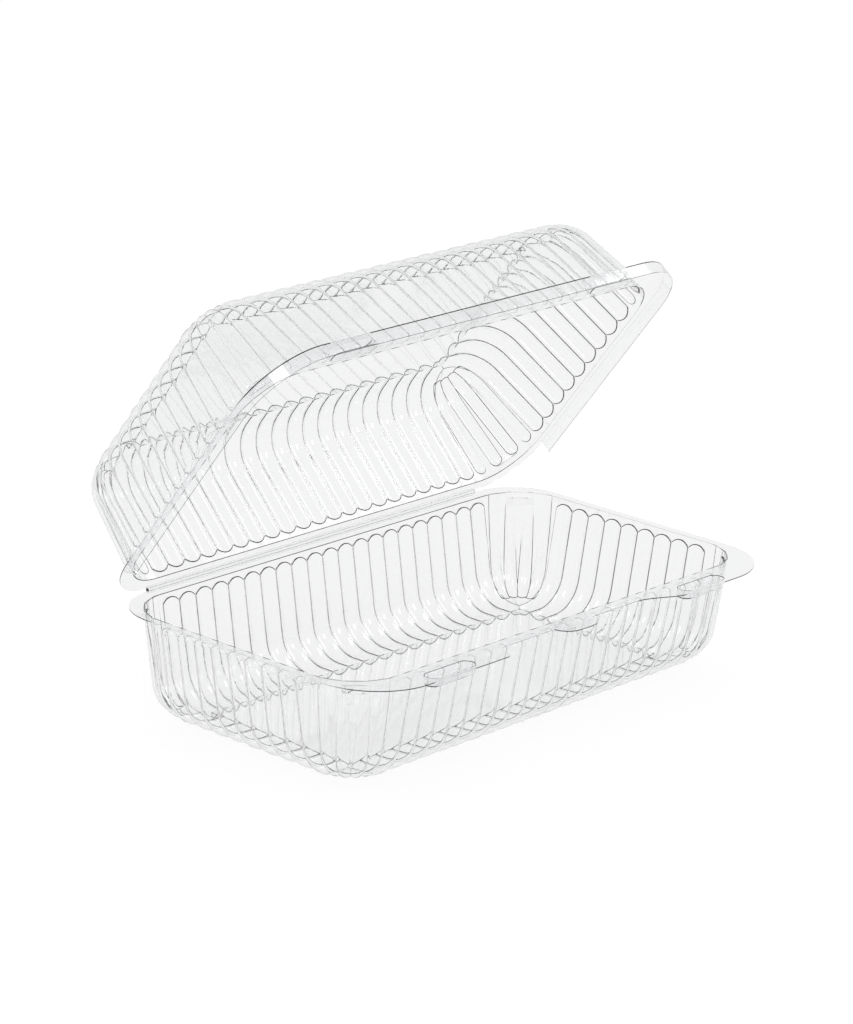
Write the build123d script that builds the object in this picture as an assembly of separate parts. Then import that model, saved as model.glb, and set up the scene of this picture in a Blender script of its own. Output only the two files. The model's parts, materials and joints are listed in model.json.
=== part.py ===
from build123d import *
from math import acos, atan2, cos, degrees, hypot, radians, sin, sqrt, tan
import os

# A clear thermoformed clamshell food container, standing open.  Base and lid
# are two fluted trays joined along one living hinge at the back.  The origin
# is on the table under the middle of the base, X runs along the hinge, the
# front is towards -Y and +Z is up.  Every size is in millimetres.

# Driving dimensions: the sheet and its flutes
WALL = 0.35               # thickness of the formed sheet
PITCH = 8.45              # width of one flute, crease to crease
FLUTE_RISE = 2.2          # how far a flute bulges out of its creases
LONG_FLUTES = 21          # flutes on the front and on the back
SHORT_FLUTES = 9          # flutes on each end
CORNER_FLUTES = 4         # narrow flutes round each corner

# Driving dimensions: the two trays
BASE_DEPTH = 43.2         # table to the base's rim
LID_DEPTH = 44.6          # lid's rim to its roof
DRAFT = 9.65              # degrees that the walls lean outwards
CORNER_RADIUS = 21.2      # of the creases at the rim
FOOT_RADIUS = 14.0        # of the creases between wall and floor
FLOOR_RUN = 5.2           # how far the flutes run in over the floor
FLUTE_TOP_GAP = 2.0       # plain wall between the flutes and the rim
CORNER_FLUTE_RADIUS = 2.9
CORNER_FLUTE_RISE = 1.6
CORNER_FLUTE_TURN = 59.0  # degrees round the foot to a corner flute's end
CORNER_FLUTE_FADE = 1.3   # how much lower the base's corner flutes are at the rim

# Driving dimensions: rims
SIDE_FLANGE = 3.1         # rim width at the two ends
BACK_FLANGE = 5.2         # rim width at the hinge
FRONT_FLANGE = 5.2        # rim width at the middle of the front
FRONT_PAD = 8.1           # how far the front corners reach past the front rim
LEFT_PAD_START = 37.5     # from the middle of the front to the left corner pad
LEFT_PAD_BLEND = 8.0      # length of the curve out to that pad
RIGHT_PAD_START = 34.0    # from the middle of the front to the right corner pad
RIGHT_PAD_BLEND = 26.0    # length of the longer curve out to that pad
BACK_CORNER = 22.5        # radius of the rim's back corners
FRONT_CORNER = 26.5       # radius of the rim's front corners
TAB_HALF = 10.6           # half width of the thumb tab
TAB_REACH = 6.6           # how far the thumb tab stands out
LIP_HEIGHT = 5.0          # turned lip round the lid's rim
LIP_GAP = 0.5             # between the base's rim and the lid's lip

# Driving dimensions: hinge and snaps
HINGE_HALF = 90.0         # half length of the hinge bead
HINGE_BEAD = 0.8          # radius of the hinge bead
HINGE_GAP = 0.3           # between the bead and the lid, and between the rims
OPEN_ANGLE = 53.0         # how far the lid stands open
SNAP_X = 70.0             # middle of each snap from the middle of the front
SNAP_LENGTH = 23.0
SNAP_WIDTH = 5.8
SNAP_HEIGHT = 2.8
SNAP_INSET = 1.2          # from the middle of the pad towards the food
SNAP_TAPER = 8            # degrees
SNAP_GAP = 0.3            # between a snap and its socket
LUG_LENGTH = 9.0          # stacking lugs in the corners
LUG_DEPTH = 1.6
LUG_HEIGHT = 3.0
LUG_DROP = 2.2            # rim to the top of a lug

# Worked out
LEAN_SIN, LEAN_COS, LEAN_TAN = sin(radians(DRAFT)), cos(radians(DRAFT)), tan(radians(DRAFT))
CORNER_X = LONG_FLUTES * PITCH / 2          # centre of each corner
CORNER_Y = SHORT_FLUTES * PITCH / 2
RIM_X = CORNER_X + CORNER_RADIUS            # creases at the rim
RIM_Y = CORNER_Y + CORNER_RADIUS
FLUTE_RADIUS = (PITCH ** 2 / 4 + FLUTE_RISE ** 2) / (2 * FLUTE_RISE)
SIDE_EDGE = RIM_X + SIDE_FLANGE             # outer edges of the base's rim
BACK_EDGE = RIM_Y + BACK_FLANGE
FRONT_EDGE = RIM_Y + FRONT_FLANGE
HINGE_Y = BACK_EDGE + HINGE_BEAD
HINGE_Z = BASE_DEPTH + HINGE_GAP / 2
HINGE_AXIS = Axis((0, HINGE_Y, HINGE_Z), (1, 0, 0))
FAR = 400.0                                 # longer than anything here


def foot(depth, reach):
    """Centre of the foot's arc, seen from the end, for a wall whose crease
    meets the rim at this reach: (distance from the middle, height)."""
    height = FLUTE_RISE + FOOT_RADIUS
    rise = depth - height + FOOT_RADIUS * LEAN_SIN
    return reach - rise * LEAN_TAN - FOOT_RADIUS * LEAN_COS, height


def flute_outline(count, hollow):
    """Section through a run of flutes in XY: the bulges face +Y and the
    creases lie on the X axis.  A hollow section is one sheet thick."""
    inner = FLUTE_RADIUS - WALL
    half = sqrt(inner ** 2 - (FLUTE_RADIUS - FLUTE_RISE - WALL) ** 2)
    creases = [(i - count / 2) * PITCH for i in range(count + 1)]
    edges = []
    for left, right in zip(creases, creases[1:]):
        edges.append(ThreePointArc((left, 0), ((left + right) / 2, FLUTE_RISE), (right, 0)))
    edges.append(Line((creases[-1], 0), (creases[-1], -WALL)))
    if hollow:
        for right, left in zip(creases[::-1], creases[-2::-1]):
            middle = (left + right) / 2
            edges.append(Line((right, -WALL), (middle + half, -WALL)))
            edges.append(ThreePointArc((middle + half, -WALL), (middle, FLUTE_RISE - WALL),
                                       (middle - half, -WALL)))
            edges.append(Line((middle - half, -WALL), (left, -WALL)))
    else:
        edges.append(Line((creases[-1], -WALL), (creases[0], -WALL)))
    edges.append(Line((creases[0], -WALL), (creases[0], 0)))
    return make_face(edges)


def bulge(inset):
    """Face between the line of the creases and one flute's arc, this far
    inside the flute's outer surface."""
    radius = FLUTE_RADIUS - inset
    half = sqrt(radius ** 2 - (FLUTE_RADIUS - FLUTE_RISE) ** 2)
    return make_face([ThreePointArc((half, 0), (0, FLUTE_RISE - inset), (-half, 0)),
                      Line((-half, 0), (half, 0))])


def flute_tops(count, length, start):
    """Plain strip above a run of flutes, with the rounded end of each flute:
    its section turned a quarter about the line of the creases.  It lies in
    the wall's own frame: X along, Y out, Z up the wall."""
    strip = Pos(0, -WALL / 2, start + length / 2) * Box(count * PITCH, WALL, length)
    places = [Pos((i - count / 2 + 0.5) * PITCH, 0, start) for i in range(count)]
    end = revolve(bulge(0), axis=Axis.X, revolution_arc=90)
    hollow = revolve(bulge(WALL), axis=Axis.X, revolution_arc=90)
    hollow += extrude(bulge(WALL).rotate(Axis.X, 90), amount=WALL, dir=(0, -1, 0))
    return (strip + [place * end for place in places]) - [place * hollow for place in places]


def fluted_wall(count, depth, reach, corner):
    """Front wall of a tray, foot and run over the floor, ended by small steps
    up to the floor panel.  reach is from the middle to the crease at the rim
    and corner is from the middle to the corner's centre."""
    foot_y, foot_z = foot(depth, reach)
    start = (0, -foot_y - FOOT_RADIUS * LEAN_COS, foot_z - FOOT_RADIUS * LEAN_SIN)
    section = Plane(start, x_dir=(1, 0, 0), z_dir=(0, LEAN_SIN, -LEAN_COS))
    upwards = Plane(start, x_dir=(-1, 0, 0), z_dir=(0, -LEAN_SIN, LEAN_COS))
    length = (depth - start[2]) / LEAN_COS
    straight = length - FLUTE_TOP_GAP - FLUTE_RISE
    sheet = section * flute_outline(count, True)
    turn = Axis((0, -foot_y, foot_z), (1, 0, 0))
    wall = extrude(sheet, amount=straight, dir=(0, -LEAN_SIN, LEAN_COS))
    tops = upwards.location * flute_tops(count, length - straight + WALL, straight)
    bend = revolve(sheet, axis=turn, revolution_arc=90 - DRAFT)
    run = extrude(sheet.rotate(turn, 90 - DRAFT), amount=FLOOR_RUN, dir=(0, 1, 0))
    ends = section * flute_outline(count, False)
    ends = ends.rotate(turn, 90 - DRAFT).translate((0, FLOOR_RUN, 0))
    ends = extrude(ends, amount=WALL, dir=(0, 1, 0))
    half = count * PITCH / 2
    mitre = Polyline((-half, -FAR), (half, -FAR), (half, -corner), (half - corner, 0),
                     (corner - half, 0), (-half, -corner), close=True)
    keep = extrude(make_face(mitre), amount=FAR)
    return (wall + tops + bend + run + ends) & keep


def turned_corner(depth, thickness_in, rim_radius):
    """Quarter of the plain corner, filled in to its axis, with its surface
    this far inside the creases."""
    foot_r, foot_z = foot(depth, rim_radius)
    arc = FOOT_RADIUS - thickness_in
    top_r = foot_r + arc * LEAN_COS
    top_z = foot_z - arc * LEAN_SIN
    rise = depth + WALL - top_z
    outline = [
        Line((0, foot_z - arc), (foot_r, foot_z - arc)),
        CenterArc((foot_r, foot_z), arc, -90, 90 - DRAFT),
        Line((top_r, top_z), (top_r + rise * LEAN_TAN, depth + WALL)),
        Line((top_r + rise * LEAN_TAN, depth + WALL), (0, depth + WALL)),
        Line((0, depth + WALL), (0, foot_z - arc)),
    ]
    face = Plane.XZ * make_face(outline)
    return revolve(face, axis=Axis.Z, revolution_arc=90)


def corner_rod(depth, radius, sink_at_rim, round_end):
    """Round rod along one corner flute: down the wall and round the foot,
    drawn in the XZ plane from the corner's own axis."""
    foot_r, foot_z = foot(depth, CORNER_RADIUS)
    inset = CORNER_FLUTE_RADIUS - CORNER_FLUTE_RISE
    arc = FOOT_RADIUS - inset
    away_r = CORNER_RADIUS - (inset + sink_at_rim) / LEAN_COS - foot_r
    away_z = depth - foot_z
    lean = degrees(acos(arc / hypot(away_r, away_z)) - atan2(away_z, away_r))
    bend = CenterArc((foot_r, foot_z), arc, -lean, lean - CORNER_FLUTE_TURN)
    low, end = bend @ 0, bend @ 1
    top_z = depth - (FLUTE_TOP_GAP + CORNER_FLUTE_RADIUS if round_end else 0)
    top = Vector(low.X + tan(radians(lean)) * (top_z - low.Y), top_z)
    path = Plane.XZ * Wire([Line(top, low).edge(), bend.edge()])
    rod = sweep(Plane(path @ 0, z_dir=path % 0) * Circle(radius), path=path)
    rod += Pos(end.X, 0, end.Y) * Sphere(radius)
    if round_end:
        rod += Pos(top.X, 0, top.Y) * Sphere(radius)
    return rod


def corner_lug(depth):
    """Short rib across the inside of one corner, which keeps stacked packs
    apart.  It is trimmed to the middle of the sheet."""
    reach = CORNER_RADIUS - LUG_DROP * LEAN_TAN
    block = Pos(reach, 0, depth - LUG_DROP - LUG_HEIGHT / 2) * Box(2 * LUG_DEPTH, LUG_LENGTH, LUG_HEIGHT)
    return (Rot(0, 0, 45) * block) & turned_corner(depth, WALL / 2, CORNER_RADIUS)


def fluted_corner(depth, full_length):
    """Back right corner of a tray, with its narrow flutes.  Full-length
    flutes reach up to the rim; the others fade away as they rise."""
    sink = 0 if full_length else CORNER_FLUTE_FADE
    rod = corner_rod(depth, CORNER_FLUTE_RADIUS, sink, full_length)
    bore = corner_rod(depth, CORNER_FLUTE_RADIUS - WALL, sink, full_length)
    step = 90 / CORNER_FLUTES
    turns = [Rot(0, 0, (i + 0.5) * step) for i in range(CORNER_FLUTES)]
    quarter = Pos(FAR / 2, FAR / 2, depth / 2) * Box(FAR, FAR, depth)
    outside = turned_corner(depth, 0, CORNER_RADIUS) + [turn * rod for turn in turns]
    inside = turned_corner(depth, WALL, CORNER_RADIUS) + [turn * bore for turn in turns]
    return Pos(CORNER_X, CORNER_Y, 0) * ((outside & quarter) - inside + corner_lug(depth))


def tray(depth, full_length):
    """Four fluted walls, four corners and the raised floor panel."""
    front = fluted_wall(LONG_FLUTES, depth, RIM_Y, CORNER_Y)
    right = fluted_wall(SHORT_FLUTES, depth, RIM_X, CORNER_X).rotate(Axis.Z, 90)
    corner = fluted_corner(depth, full_length)
    back_half = corner + mirror(corner, Plane.YZ)
    panel_x = foot(depth, RIM_X)[0] - FLOOR_RUN
    panel_y = foot(depth, RIM_Y)[0] - FLOOR_RUN
    panel = Pos(0, 0, FLUTE_RISE + WALL / 2) * Box(2 * panel_x, 2 * panel_y, WALL)
    ring = front + mirror(front, Plane.XZ) + right + mirror(right, Plane.YZ)
    ring = ring + back_half + mirror(back_half, Plane.XZ) + panel
    below_rim = Pos(0, 0, depth / 2) * Box(FAR, FAR, depth)
    return ring & below_rim


def rounded_outline(side, back, front, back_radius, front_radius):
    """Closed rim outline, straight along the front."""
    corners = [(-side, back), (side, back), (side, -front), (-side, -front)]
    outline = make_face(Polyline(*corners, close=True))
    backs = outline.vertices().filter_by(lambda v: v.Y > 0)
    outline = fillet(backs, back_radius)
    return fillet(outline.vertices().filter_by(lambda v: v.Y < 0 and abs(v.X) > side - 1),
                  front_radius)


def half_cutaway(edge, pad, start, blend):
    """What is cut from the right half of the wide front rim, as far as its
    corner pad, with the curve out to the pad."""
    out = -(edge + pad)
    lines = [
        Line((0, -edge), (start, -edge)),
        Spline((start, -edge), (start + blend, out), tangents=[(1, 0), (1, 0)]),
        Line((start + blend, out), (start + blend, out - 1)),
        Line((start + blend, out - 1), (0, out - 1)),
        Line((0, out - 1), (0, -edge)),
    ]
    return make_face(lines)


def front_cutaway(edge, pad):
    """What is cut from the wide front rim between its two corner pads."""
    left = mirror(half_cutaway(edge, pad, LEFT_PAD_START, LEFT_PAD_BLEND), Plane.YZ)
    return left + half_cutaway(edge, pad, RIGHT_PAD_START, RIGHT_PAD_BLEND)


def thumb_tab(edge):
    """Rounded tab in the middle of the front rim."""
    tab = [
        Line((-TAB_HALF, -edge + 1), (TAB_HALF, -edge + 1)),
        Line((TAB_HALF, -edge + 1), (TAB_HALF, -edge)),
        Spline((TAB_HALF, -edge), (0, -edge - TAB_REACH), (-TAB_HALF, -edge),
               tangents=[(-0.2, -1), (-0.2, 1)]),
        Line((-TAB_HALF, -edge), (-TAB_HALF, -edge + 1)),
    ]
    return make_face(tab)


def mouth():
    """The tray's mouth at the rim, out to the inner face of its wall."""
    inset = WALL / LEAN_COS
    return RectangleRounded(2 * (RIM_X - inset), 2 * (RIM_Y - inset), CORNER_RADIUS - inset)


def snaps(grow, height):
    """Two long round-ended studs on the front corner pads, with their feet at
    Z = 0, grown all round.  A negative height makes them hang down."""
    y = -(FRONT_EDGE + FRONT_PAD / 2 - SNAP_INSET)
    stud = extrude(SlotOverall(SNAP_LENGTH + 2 * grow, SNAP_WIDTH + 2 * grow), abs(height), taper=SNAP_TAPER)
    if height < 0:
        stud = mirror(stud, Plane.XY)
    return [Pos(side * SNAP_X, y, 0) * stud for side in (-1, 1)]


def lifted(shapes, height):
    """The same shapes, raised."""
    return [Pos(0, 0, height) * shape for shape in shapes]


def base_tray():
    """Base: tray, rim with corner pads and thumb tab, sockets for the lid's
    snaps, and the hinge bead."""
    body = tray(BASE_DEPTH, False)
    outline = rounded_outline(SIDE_EDGE, BACK_EDGE, FRONT_EDGE + FRONT_PAD, BACK_CORNER, FRONT_CORNER)
    outline = outline - front_cutaway(FRONT_EDGE, FRONT_PAD) + thumb_tab(FRONT_EDGE) - mouth()
    rim = Pos(0, 0, BASE_DEPTH) * extrude(outline, -WALL)
    pockets = lifted(snaps(SNAP_GAP + WALL, -(SNAP_HEIGHT + SNAP_GAP + WALL)), BASE_DEPTH)
    hollows = lifted(snaps(SNAP_GAP, -(SNAP_HEIGHT + SNAP_GAP)), BASE_DEPTH)
    bead = Pos(0, HINGE_Y, HINGE_Z) * Rot(0, 90, 0) * Cylinder(HINGE_BEAD, 2 * HINGE_HALF)
    web = Pos(0, BACK_EDGE, BASE_DEPTH - WALL / 2) * Box(2 * HINGE_HALF, 2 * HINGE_BEAD, WALL)
    return body + rim + pockets - hollows + web + bead


def lid_tray():
    """Lid: tray, wide rim with a turned lip, and hollow snaps that press into
    the base, made lying open beside the base and then swung up."""
    body = tray(LID_DEPTH, True)
    inner = rounded_outline(SIDE_EDGE + LIP_GAP, BACK_EDGE - HINGE_GAP, FRONT_EDGE + FRONT_PAD + LIP_GAP,
                            BACK_CORNER, FRONT_CORNER)
    outer = rounded_outline(SIDE_EDGE + LIP_GAP + WALL, BACK_EDGE - HINGE_GAP,
                            FRONT_EDGE + FRONT_PAD + LIP_GAP + WALL, BACK_CORNER, FRONT_CORNER + WALL)
    rim = Pos(0, 0, LID_DEPTH) * extrude(outer - mouth(), -WALL)
    lip = Pos(0, 0, LID_DEPTH - WALL) * extrude(outer - inner, LIP_HEIGHT + WALL)
    front_part = Pos(0, BACK_EDGE - BACK_CORNER - FAR / 2, LID_DEPTH) * Box(FAR, FAR, FAR)
    studs = lifted(snaps(0, SNAP_HEIGHT), LID_DEPTH)
    hollows = lifted(snaps(-WALL, SNAP_HEIGHT), LID_DEPTH - WALL)
    lid = body + rim + (lip & front_part) + studs - hollows
    lid = Pos(0, 0, BASE_DEPTH - LID_DEPTH) * lid
    lid = mirror(lid, Plane((0, HINGE_Y, 0), z_dir=(0, 1, 0)))
    return lid.rotate(HINGE_AXIS, 180 - OPEN_ANGLE)


os.makedirs("parts", exist_ok=True)
export_step(base_tray(), "parts/base_tray.step")
export_step(lid_tray(), "parts/lid.step")
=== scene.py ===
# %% [markdown]
# # A clear clamshell food pack
#
# The real object is one sheet of clear plastic, about a third of a millimetre
# thick, drawn hot into two fluted trays that fold together along one hinge.
# Everything that can be measured about it, the flutes, rims, snaps and lip,
# is in the CAD model, which loads here as a frame that nothing may move.
# Blender adds what CAD can't say: how clear sheet takes the light, the film
# of the hinge, and a studio to look at it in.

# %% Load the frame
import json

import bpy
import numpy as np
from mathutils import Matrix, Vector


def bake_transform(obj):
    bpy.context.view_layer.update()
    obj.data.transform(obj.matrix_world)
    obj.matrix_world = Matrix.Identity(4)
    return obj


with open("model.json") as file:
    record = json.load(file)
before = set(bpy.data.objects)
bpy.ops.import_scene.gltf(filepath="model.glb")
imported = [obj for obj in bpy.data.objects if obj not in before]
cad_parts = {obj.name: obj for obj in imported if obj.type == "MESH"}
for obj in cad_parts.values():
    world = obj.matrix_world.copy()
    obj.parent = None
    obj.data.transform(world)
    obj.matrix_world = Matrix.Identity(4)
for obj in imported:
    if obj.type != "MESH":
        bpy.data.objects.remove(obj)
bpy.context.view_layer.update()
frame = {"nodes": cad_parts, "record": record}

# %% [markdown]
# ## The camera
#
# A camera could be aimed with a tracking constraint, or given a turn and a
# place outright.  Here its heading, height and roll are written as angles,
# because that is how the set-up would be described in a studio: a long lens,
# well back, a little above the rim and off the left front corner.

# %% Place the camera
HEADING = -48.02          # degrees round the pack from straight in front
ELEVATION = 17.89         # degrees above the table
ROLL = 1.95               # degrees
CAMERA_PLACE = Vector((-1.1021, -0.9823, 0.5462))
LENS_MM = 176.15
SENSOR_MM = 36.0
LEVEL_TO_DOWN = 90.0      # degrees from a level view to one straight down


def camera_turn(heading, elevation, roll):
    """Rotation matrix of a camera at that heading, elevation and roll:
    Rz(heading) Rx(90 - elevation) Rz(roll)."""
    angles = np.radians((heading, LEVEL_TO_DOWN - elevation, roll))
    return (Matrix.Rotation(angles[0], 4, "Z")
            @ Matrix.Rotation(angles[1], 4, "X")
            @ Matrix.Rotation(angles[2], 4, "Z"))


lens = bpy.data.cameras.new("camera")
lens.lens = LENS_MM
lens.sensor_width = SENSOR_MM
lens.sensor_fit = "HORIZONTAL"
camera = bpy.data.objects.new("camera", lens)
camera.matrix_world = (Matrix.Translation(CAMERA_PLACE)
                       @ camera_turn(HEADING, ELEVATION, ROLL))
bpy.context.scene.collection.objects.link(camera)
bpy.context.scene.camera = camera
bpy.context.scene.view_settings.view_transform = "Standard"
print("camera", [round(v, 4) for v in camera.location])

# %% [markdown]
# ## Helpers for node trees
#
# Shader nodes can be wired by hand one line at a time, but the same steps
# repeat: make a node, set a few sockets, join two sockets, ask what kind of
# ray is looking.  A few short functions keep the rest readable.


# %% Wire shader nodes
def add_node(tree, kind, **values):
    """New node of that kind, with values for its properties or its inputs."""
    node = tree.nodes.new(kind)
    for name, value in values.items():
        label = name.replace("_", " ")
        if label in node.inputs:
            node.inputs[label].default_value = value
        else:
            setattr(node, name, value)
    return node


def join(tree, source, target):
    """Joins an output socket to an input socket."""
    tree.links.new(source, target)


def empty_tree(owner):
    """The owner's node tree, switched on and emptied."""
    owner.use_nodes = True
    owner.node_tree.nodes.clear()
    return owner.node_tree


def camera_ray(tree):
    """Socket that is 1 for what the camera looks at directly, and 0 for rays
    that come from the object or carry light."""
    return add_node(tree, "ShaderNodeLightPath").outputs["Is Camera Ray"]


def seen_ray(tree):
    """Socket that is 1 for rays from the camera and for those that a clear
    or glossy surface sends on, and 0 for the rays that carry light."""
    path = add_node(tree, "ShaderNodeLightPath")
    camera_or_clear = add_node(tree, "ShaderNodeMath", operation="MAXIMUM")
    any_of_three = add_node(tree, "ShaderNodeMath", operation="MAXIMUM")
    join(tree, path.outputs["Is Camera Ray"], camera_or_clear.inputs[0])
    join(tree, path.outputs["Is Transmission Ray"], camera_or_clear.inputs[1])
    join(tree, camera_or_clear.outputs[0], any_of_three.inputs[0])
    join(tree, path.outputs["Is Glossy Ray"], any_of_three.inputs[1])
    return any_of_three.outputs[0]


# %% [markdown]
# ## The studio
#
# Clear sheet has almost no colour of its own, so it is seen by what lies
# behind it and what it mirrors.  Product studios stand it on white, in front
# of white, and light it softly from all round.  The white could come from
# strong lamps, but then the pack would burn out too; instead floor and sky
# show plain white to the eye, a little less of it through the sheet, and
# give only plain soft light.

# %% White surroundings
SKY_LIGHT = 0.90          # strength of the soft light from all round
SKY_SHOWN = 1.0           # plain white
WHITE = (1.0, 1.0, 1.0, 1.0)

sky = bpy.data.worlds.new("studio_sky")
bpy.context.scene.world = sky
tree = empty_tree(sky)
soft = add_node(tree, "ShaderNodeBackground", Color=WHITE, Strength=SKY_LIGHT)
shown = add_node(tree, "ShaderNodeBackground", Color=WHITE, Strength=SKY_SHOWN)
choose = add_node(tree, "ShaderNodeMixShader")
sky_out = add_node(tree, "ShaderNodeOutputWorld")
join(tree, camera_ray(tree), choose.inputs[0])
join(tree, soft.outputs[0], choose.inputs[1])
join(tree, shown.outputs[0], choose.inputs[2])
join(tree, choose.outputs[0], sky_out.inputs["Surface"])
print("sky light", SKY_LIGHT)

# %% [markdown]
# ## The floor
#
# The floor is a plain sheet just under the pack.  Part of what it shows is
# its own lit surface, so the pack's faint shadow stays on it, and the rest
# is plain white.  Clear sheet sees a little less of that white, which gives
# its fill the light grey that sets it off from the floor.

# %% Lay the floor
FLOOR_HALF = 6.0          # metres
FLOOR_DROP = 0.0004       # metres below the pack, so that the faces don't fight
FLOOR_WHITE = (0.92, 0.92, 0.92, 1.0)
FLOOR_SHOWN = 0.90        # plain white that the floor shows
FLOOR_THROUGH = 0.83      # and what shows of it through or in the sheet
FLOOR_LIT = 0.12          # share of its lit surface that it shows


def flat_square(name, half, height):
    """Square of side 2 half: (x, y, z) = (half u, half v, height), u, v in
    {-1, 1}, wound so that it faces up."""
    corner = np.array([(-1, -1), (1, -1), (1, 1), (-1, 1)], float) * half
    points = np.column_stack((corner, np.full(len(corner), height)))
    mesh = bpy.data.meshes.new(name)
    mesh.from_pydata(points.tolist(), [], [(0, 1, 2, 3)])
    piece = bpy.data.objects.new(name, mesh)
    bpy.context.scene.collection.objects.link(piece)
    return piece


floor = flat_square("floor", FLOOR_HALF, -FLOOR_DROP)
finish = bpy.data.materials.new("white_floor")
tree = empty_tree(finish)
matt = add_node(tree, "ShaderNodeBsdfDiffuse", Color=FLOOR_WHITE)
lit_share = tuple(FLOOR_LIT * part for part in FLOOR_WHITE[:3])
own_light = add_node(tree, "ShaderNodeBsdfDiffuse", Color=lit_share + WHITE[3:])
plain = add_node(tree, "ShaderNodeEmission", Color=WHITE)
level = add_node(tree, "ShaderNodeMath", operation="MULTIPLY_ADD")
level.inputs[1].default_value = FLOOR_SHOWN - FLOOR_THROUGH
level.inputs[2].default_value = FLOOR_THROUGH
join(tree, camera_ray(tree), level.inputs[0])
join(tree, level.outputs[0], plain.inputs["Strength"])
both = add_node(tree, "ShaderNodeAddShader")
choose = add_node(tree, "ShaderNodeMixShader")
floor_out = add_node(tree, "ShaderNodeOutputMaterial")
join(tree, own_light.outputs[0], both.inputs[0])
join(tree, plain.outputs[0], both.inputs[1])
join(tree, seen_ray(tree), choose.inputs[0])
join(tree, matt.outputs[0], choose.inputs[1])
join(tree, both.outputs[0], choose.inputs[2])
join(tree, choose.outputs[0], floor_out.inputs["Surface"])
floor.data.materials.append(finish)
print("floor", 2 * FLOOR_HALF, "m wide")

# %% [markdown]
# ## Soft boxes
#
# A clear pack under an even white sky looks like a drawing: only its edges
# show.  What makes it read as glossy are the bright streaks along the
# flutes, and those are the mirror images of large soft lamps.  Area lamps
# give them with soft ends, and their strength is set by the streaks, while
# the sky above carries the rest of the light.

# %% Hang the soft boxes
SOFT_BOXES = {
    # name: (place, width, height, watts), all aimed at the pack's middle
    "right_box": ((1.10, -0.35, 0.62), 0.55, 0.80, 1.5),
    "left_box": ((-0.75, -0.20, 0.95), 0.40, 0.40, 1.2),
    "front_box": ((0.10, -1.30, 0.90), 0.45, 0.35, 1.5),
}
AIM = Vector((0.0, 0.0, 0.06))

for name, (spot, width, height, watts) in SOFT_BOXES.items():
    lamp = bpy.data.lights.new(name, "AREA")
    lamp.shape = "RECTANGLE"
    lamp.size = width
    lamp.size_y = height
    lamp.energy = watts
    box = bpy.data.objects.new(name, lamp)
    away = Vector(spot) - AIM
    box.matrix_world = (Matrix.Translation(spot)
                        @ away.to_track_quat("Z", "Y").to_matrix().to_4x4())
    bpy.context.scene.collection.objects.link(box)
print("soft boxes", len(SOFT_BOXES))

# %% [markdown]
# ## What drawing does to a sheet
#
# Drawn sheet is never optically flat.  It is a little thicker and thinner
# in slow waves, it carries faint draw lines, and handling leaves a fine haze.
# One group holds these marks, so that the trays and the hinge film share
# them with values of their own.  It puts out a height for bump and a
# roughness, both worked out from the object's own coordinates.

# %% Group for the marks in drawn sheet
MARKS = {
    # input of the group: value where a material gives none of its own
    "Wave Scale": 60.0,
    "Line Scale": 260.0,
    "Line Share": 0.25,
    "Clean": 0.02,
    "Haze": 0.08,
}
LINE_STRETCH = (1.0, 1.0, 0.08)   # draw lines run up the walls
WAVE_DETAIL = 2.0
LINE_DETAIL, LINE_ROUGHNESS = 3.0, 0.6
HAZE_SCALE, HAZE_DETAIL, HAZE_ROUGHNESS = 35.0, 5.0, 0.65
HAZE_FROM, HAZE_FULL = 0.45, 0.75  # noise at which haze starts, and is full


def drawn_sheet_marks():
    """Node group: height = waves + draw lines, roughness = clean + haze,
    each from noise on the object's coordinates."""
    group = bpy.data.node_groups.new("drawn_sheet_marks", "ShaderNodeTree")
    number = "NodeSocketFloat"
    for name, value in MARKS.items():
        socket = group.interface.new_socket(name, in_out="INPUT", socket_type=number)
        socket.default_value = value
    for name in ("Height", "Roughness"):
        group.interface.new_socket(name, in_out="OUTPUT", socket_type=number)
    given = group.nodes.new("NodeGroupInput")
    result = group.nodes.new("NodeGroupOutput")
    place = add_node(group, "ShaderNodeTexCoord")
    waves = add_node(group, "ShaderNodeTexNoise", Detail=WAVE_DETAIL)
    lines = add_node(group, "ShaderNodeTexNoise", Detail=LINE_DETAIL,
                     Roughness=LINE_ROUGHNESS)
    stretch = add_node(group, "ShaderNodeMapping")
    stretch.inputs["Scale"].default_value = LINE_STRETCH
    join(group, place.outputs["Object"], waves.inputs["Vector"])
    join(group, given.outputs["Wave Scale"], waves.inputs["Scale"])
    join(group, place.outputs["Object"], stretch.inputs["Vector"])
    join(group, stretch.outputs["Vector"], lines.inputs["Vector"])
    join(group, given.outputs["Line Scale"], lines.inputs["Scale"])
    height = add_node(group, "ShaderNodeMix", data_type="FLOAT")
    join(group, given.outputs["Line Share"], height.inputs["Factor"])
    join(group, waves.outputs["Fac"], height.inputs["A"])
    join(group, lines.outputs["Fac"], height.inputs["B"])
    join(group, height.outputs["Result"], result.inputs["Height"])
    spread = add_node(group, "ShaderNodeTexNoise", Scale=HAZE_SCALE, Detail=HAZE_DETAIL,
                      Roughness=HAZE_ROUGHNESS)
    join(group, place.outputs["Object"], spread.inputs["Vector"])
    patches = add_node(group, "ShaderNodeMapRange", From_Min=HAZE_FROM, From_Max=HAZE_FULL)
    join(group, spread.outputs["Fac"], patches.inputs["Value"])
    haze = add_node(group, "ShaderNodeMath", operation="MULTIPLY_ADD")
    join(group, patches.outputs["Result"], haze.inputs[0])
    join(group, given.outputs["Haze"], haze.inputs[1])
    join(group, given.outputs["Clean"], haze.inputs[2])
    join(group, haze.outputs[0], result.inputs["Roughness"])
    return group


marks = drawn_sheet_marks()
print("group", marks.name, "with", len(marks.nodes), "nodes")

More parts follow.
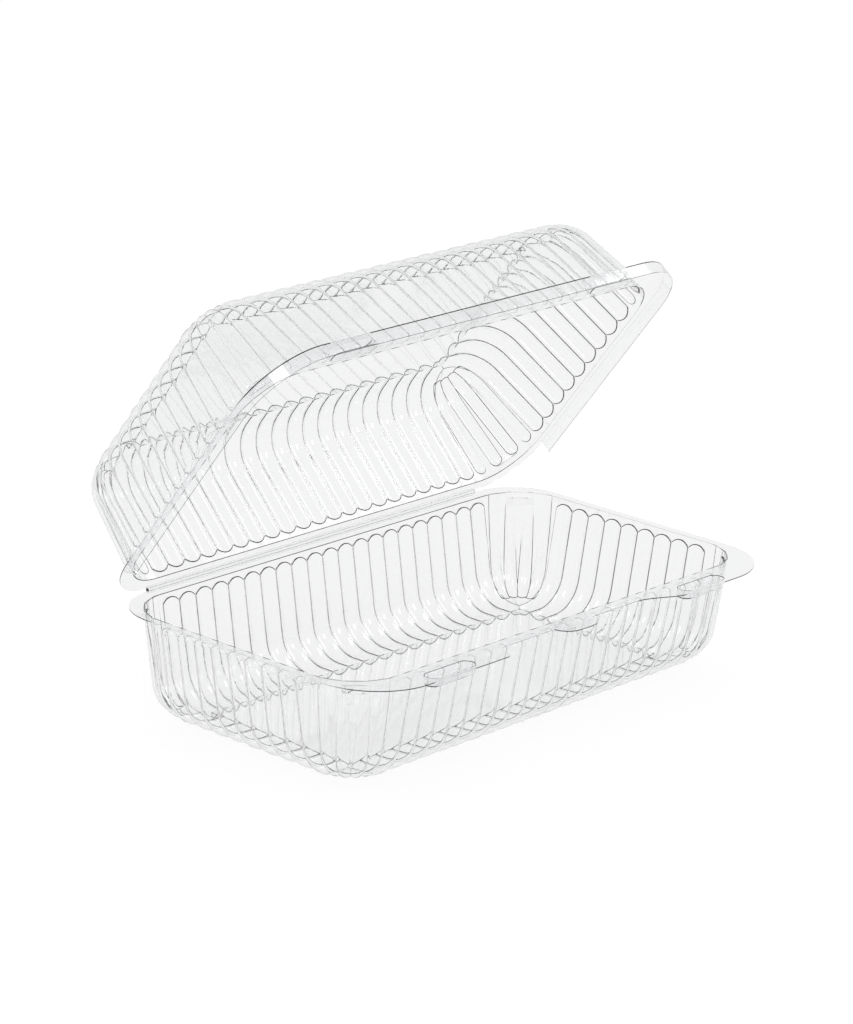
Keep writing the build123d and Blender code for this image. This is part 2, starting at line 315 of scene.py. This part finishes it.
# %% [markdown]
# ## Clear sheet
#
# The trays are true shells in the CAD, one sheet thick, so light can be bent
# at both faces as it is in the real thing.  That gives the thin dark lines at
# each crease and rim without drawing them.  A neutral absorption inside the
# sheet darkens the long ways through it, along creases and cut edges, and a
# faint tint stands for what each crossing loses.  Lamps pass through the
# sheet almost as if it were not there, so the shadow stays faint.

# %% Finish for clear sheet
SHEET_INDEX = 1.58        # refractive index of clear styrene sheet
SHEET_TINT = (0.978, 0.980, 0.983, 1.0)
SHADOW_TINT = (0.965, 0.966, 0.968, 1.0)  # what a sheet lets through of a lamp
EDGE_GREY = (0.55, 0.56, 0.57, 1.0)
EDGE_DENSITY = 45.0       # per metre of sheet that the light crosses
TRAY_WAVES, TRAY_HAZE = 0.00008, 0.05     # metres of bump, and added roughness
FILM_WAVES, FILM_HAZE = 0.00005, 0.10     # the same for the pinched film


def clear_sheet(name, wave_height, haze):
    """Clear plastic that bends light, with marks this high in metres and
    this much haze added to its roughness."""
    material = bpy.data.materials.new(name)
    tree = empty_tree(material)
    sheet = add_node(tree, "ShaderNodeBsdfPrincipled", Base_Color=SHEET_TINT,
                     IOR=SHEET_INDEX, Transmission_Weight=1.0)
    drawn = add_node(tree, "ShaderNodeGroup", node_tree=marks, Haze=haze)
    bump = add_node(tree, "ShaderNodeBump", Strength=1.0, Distance=wave_height)
    join(tree, drawn.outputs["Height"], bump.inputs["Height"])
    join(tree, bump.outputs["Normal"], sheet.inputs["Normal"])
    join(tree, drawn.outputs["Roughness"], sheet.inputs["Roughness"])
    lamp_way = add_node(tree, "ShaderNodeBsdfTransparent", Color=SHADOW_TINT)
    path = add_node(tree, "ShaderNodeLightPath")
    choose = add_node(tree, "ShaderNodeMixShader")
    inside = add_node(tree, "ShaderNodeVolumeAbsorption", Color=EDGE_GREY,
                      Density=EDGE_DENSITY)
    out = add_node(tree, "ShaderNodeOutputMaterial")
    join(tree, path.outputs["Is Shadow Ray"], choose.inputs[0])
    join(tree, sheet.outputs[0], choose.inputs[1])
    join(tree, lamp_way.outputs[0], choose.inputs[2])
    join(tree, choose.outputs[0], out.inputs["Surface"])
    join(tree, inside.outputs[0], out.inputs["Volume"])
    return material


tray_sheet = clear_sheet("clear_tray_sheet", TRAY_WAVES, TRAY_HAZE)
for name, node in frame["nodes"].items():
    if not node.material_slots:
        node.data.materials.append(tray_sheet)
    for material_slot in node.material_slots:
        material_slot.material = tray_sheet
    print(name, "has", len(node.data.polygons), "faces")

# %% [markdown]
# ## The hinge film
#
# Along the back, the sheet is pinched thin and wraps round the fold.  It
# could be one more edge of a tray, but it belongs to neither: when the lid
# swings, one edge stays and the other goes with it.  So it is a piece of
# its own, an arc carried along the hinge.

# %% Wrap the hinge film
HINGE = next(joint for joint in frame["record"]["behaviour"]["joints"]
             if joint["name"] == "lid_hinge")
HINGE_Y, HINGE_Z = HINGE["pos_m"][1:]
FILM_HALF = 0.0895        # half length along the hinge
FILM_RADIUS = 0.00092     # middle of the film from the hinge line
FILM_THICKNESS = 0.00012  # pinched thinner than the trays
FILM_START = 186.0        # degrees from the back, at the base's rim
FILM_SWEEP = 300.0        # degrees round the back to the lid's rim
FILM_STEPS = 40           # points round each side of its section
FILM_LENGTHS = 60         # sections along the hinge
FILM_CREASE = 40.0        # degrees, above which an edge stays sharp


def wrapped_film(name):
    """Closed shell on a grid (u, w), both in [0, 1]: x = L (2u - 1), and
    round the closed section, with a = start + sweep w and r = R + h/2 on the
    way out and R - h/2 on the way back, y = y0 + r cos a, z = z0 + r sin a."""
    turn = np.radians(FILM_START + FILM_SWEEP * np.linspace(0, 1, FILM_STEPS))
    angle = np.concatenate((turn, turn[::-1]))
    outer = FILM_RADIUS + FILM_THICKNESS / 2
    inner = FILM_RADIUS - FILM_THICKNESS / 2
    radius = np.repeat((outer, inner), FILM_STEPS)
    x = np.linspace(-FILM_HALF, FILM_HALF, FILM_LENGTHS)
    around = len(angle)
    points = np.empty((FILM_LENGTHS, around, 3))
    points[..., 0] = x[:, None]
    points[..., 1] = HINGE_Y + radius * np.cos(angle)
    points[..., 2] = HINGE_Z + radius * np.sin(angle)
    row = np.arange(FILM_LENGTHS - 1)[:, None] * around
    near = np.arange(around)
    far = (near + 1) % around
    faces = np.stack((row + near, row + far, row + around + far, row + around + near),
                     axis=-1)
    first_end = near[::-1]
    last_end = (FILM_LENGTHS - 1) * around + near
    mesh = bpy.data.meshes.new(name)
    mesh.from_pydata(points.reshape(-1, 3).tolist(), [],
                     faces.reshape(-1, 4).tolist() + [first_end.tolist(), last_end.tolist()])
    mesh.set_sharp_from_angle(angle=np.radians(FILM_CREASE))
    mesh.shade_smooth()
    piece = bpy.data.objects.new(name, mesh)
    bpy.context.scene.collection.objects.link(piece)
    return piece


hinge_film = wrapped_film("hinge_film")
hinge_film.data.materials.append(clear_sheet("clear_hinge_film", FILM_WAVES, FILM_HAZE))
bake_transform(hinge_film)
print("hinge film", len(hinge_film.data.polygons), "faces")
